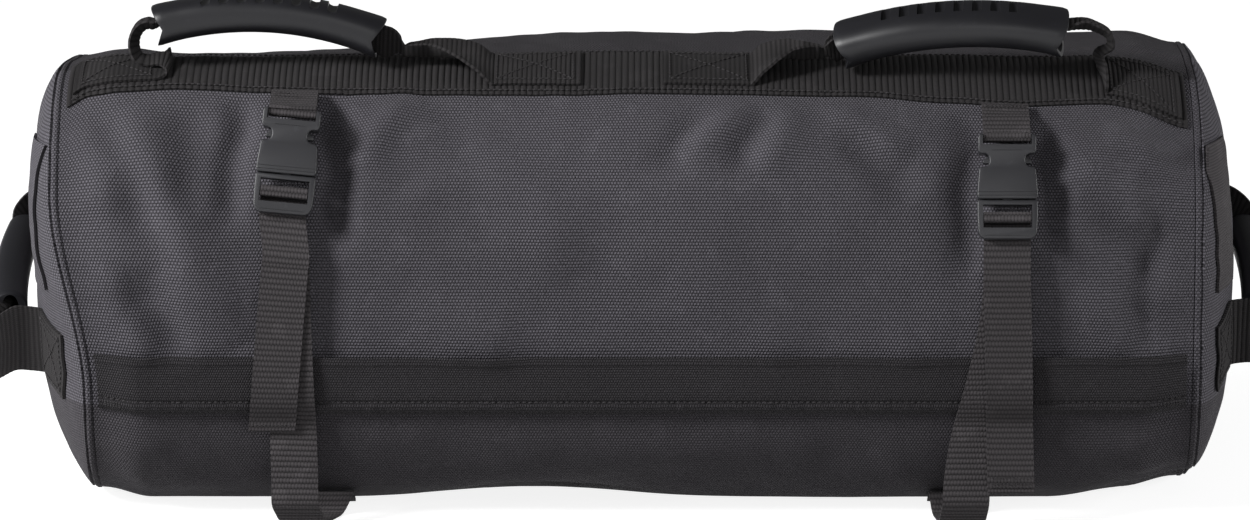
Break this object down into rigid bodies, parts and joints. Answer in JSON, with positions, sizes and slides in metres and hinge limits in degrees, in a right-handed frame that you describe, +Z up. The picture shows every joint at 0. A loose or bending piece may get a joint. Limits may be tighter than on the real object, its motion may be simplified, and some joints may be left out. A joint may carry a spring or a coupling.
{
  "type": "sandbag trainer",
  "caption": "Filled duffel-style sandbag trainer lying on its side, with moulded top grips, end handles, a covered zip and strap buckles.",
  "frame": {"origin": "middle of the footprint on the floor, under the whole object", "axes": "+X along the bag to the right as seen from the front, +Y to the back, +Z up; the front with the buckles faces -Y"},
  "size_m": [0.7042, 0.256, 0.2824],
  "materials": {
    "bag_cloth": "coarse woven nylon, matt",
    "webbing": "ribbed woven webbing",
    "filler_cloth": "plain woven",
    "moulded_plastic": "satin moulded",
    "sand": "loose dry sand"
  },
  "bodies": {
    "bag": {"main_panel": "bag_cloth", "end_panel_left": "bag_cloth", "end_panel_right": "bag_cloth", "end_binding_left": "webbing", "end_binding_right": "webbing", "end_band_left": "webbing", "end_band_right": "webbing", "top_band": "webbing", "zip_flap": "bag_cloth", "zip_tape_upper": "webbing", "zip_tape_lower": "webbing", "zip_stop_left": "moulded_plastic", "zip_stop_right": "moulded_plastic", "filler_bag_1": "filler_cloth", "filler_bag_2": "filler_cloth", "filler_bag_3": "filler_cloth", "sand_fill_1": "sand", "sand_fill_2": "sand", "sand_fill_3": "sand", "filler_closure_1": "webbing", "filler_closure_2": "webbing", "filler_closure_3": "webbing", "top_handle_left_patch_outer": "webbing", "top_handle_left_patch_inner": "webbing", "top_handle_right_patch_outer": "webbing", "top_handle_right_patch_inner": "webbing", "end_handle_left_patch_front": "webbing", "end_handle_left_patch_back": "webbing", "end_handle_right_patch_front": "webbing", "end_handle_right_patch_back": "webbing", "buckle_socket_left": "moulded_plastic", "buckle_plug_left": "moulded_plastic", "buckle_socket_right": "moulded_plastic", "buckle_plug_right": "moulded_plastic", "strap_tab_left": "webbing", "strap_left": "webbing", "strap_anchor_left": "webbing", "strap_tab_right": "webbing", "strap_right": "webbing", "strap_anchor_right": "webbing"},
    "top_handle_left": {"top_handle_left_grip": "moulded_plastic", "top_handle_left_webbing_outer": "webbing", "top_handle_left_webbing_inner": "webbing"},
    "top_handle_right": {"top_handle_right_grip": "moulded_plastic", "top_handle_right_webbing_outer": "webbing", "top_handle_right_webbing_inner": "webbing"},
    "end_handle_left": {"end_handle_left_grip": "moulded_plastic", "end_handle_left_webbing_front": "webbing", "end_handle_left_webbing_back": "webbing"},
    "end_handle_right": {"end_handle_right_grip": "moulded_plastic", "end_handle_right_webbing_front": "webbing", "end_handle_right_webbing_back": "webbing"},
    "zip_slider": {"zip_slider": "moulded_plastic"},
    "zip_puller": {"zip_puller": "moulded_plastic"},
    "buckle_arm_left_a": {"buckle_arm_left_a": "moulded_plastic"},
    "buckle_arm_left_b": {"buckle_arm_left_b": "moulded_plastic"},
    "buckle_arm_right_a": {"buckle_arm_right_a": "moulded_plastic"},
    "buckle_arm_right_b": {"buckle_arm_right_b": "moulded_plastic"}
  },
  "joints": [
    {"name": "top_handle_left_swing", "type": "hinge", "parent": "bag", "child": "top_handle_left", "pos_m": [-0.197, -0.0495, 0.25042], "axis": [1, -0.0068, 0.0018], "range_deg": [-20, 60], "stiffness_Nm_per_rad": 0.06},
    {"name": "top_handle_right_swing", "type": "hinge", "parent": "bag", "child": "top_handle_right", "pos_m": [0.1705, -0.05765, 0.24855], "axis": [0.9981, -0.0583, -0.0203], "range_deg": [-60, 32], "stiffness_Nm_per_rad": 0.06},
    {"name": "end_handle_left_swing", "type": "hinge", "parent": "bag", "child": "end_handle_left", "pos_m": [-0.32885, 0.00997, 0.117], "axis": [0, 0.9744, 0.225], "range_deg": [-35, 35], "stiffness_Nm_per_rad": 0.15},
    {"name": "end_handle_right_swing", "type": "hinge", "parent": "bag", "child": "end_handle_right", "pos_m": [0.32885, 0.00997, 0.117], "axis": [0, 0.9744, 0.225], "range_deg": [-35, 35], "stiffness_Nm_per_rad": 0.15},
    {"name": "zip_slide", "type": "slide", "parent": "bag", "child": "zip_slider", "axis": [1, 0, 0], "range_m": [-0.488, 0]},
    {"name": "zip_puller_swivel", "type": "hinge", "parent": "zip_slider", "child": "zip_puller", "pos_m": [0.244, -0.11403, 0.08009], "axis": [0, 0.9911, 0.1333], "range_deg": [-25, 25]},
    {"name": "buckle_left_squeeze_a", "type": "hinge", "parent": "bag", "child": "buckle_arm_left_a", "pos_m": [-0.19317, -0.11305, 0.1957], "axis": [0, 0.9336, -0.3584], "range_deg": [0, 6], "stiffness_Nm_per_rad": 0.05},
    {"name": "buckle_left_squeeze_b", "type": "hinge", "parent": "bag", "child": "buckle_arm_left_b", "pos_m": [-0.17664, -0.11362, 0.19421], "axis": [0, 0.9336, -0.3584], "range_deg": [-6, 0], "stiffness_Nm_per_rad": 0.05},
    {"name": "buckle_right_squeeze_a", "type": "hinge", "parent": "bag", "child": "buckle_arm_right_a", "pos_m": [0.1892, -0.1174, 0.1822], "axis": [0, 0.9336, -0.3584], "range_deg": [0, 6], "stiffness_Nm_per_rad": 0.05},
    {"name": "buckle_right_squeeze_b", "type": "hinge", "parent": "bag", "child": "buckle_arm_right_b", "pos_m": [0.2058, -0.1174, 0.1822], "axis": [0, 0.9336, -0.3584], "range_deg": [-6, 0], "stiffness_Nm_per_rad": 0.05}
  ],
  "couplings": [
    {"joint": "buckle_left_squeeze_b", "follows": "buckle_left_squeeze_a", "ratio": -1},
    {"joint": "buckle_right_squeeze_b", "follows": "buckle_right_squeeze_a", "ratio": -1}
  ]
}
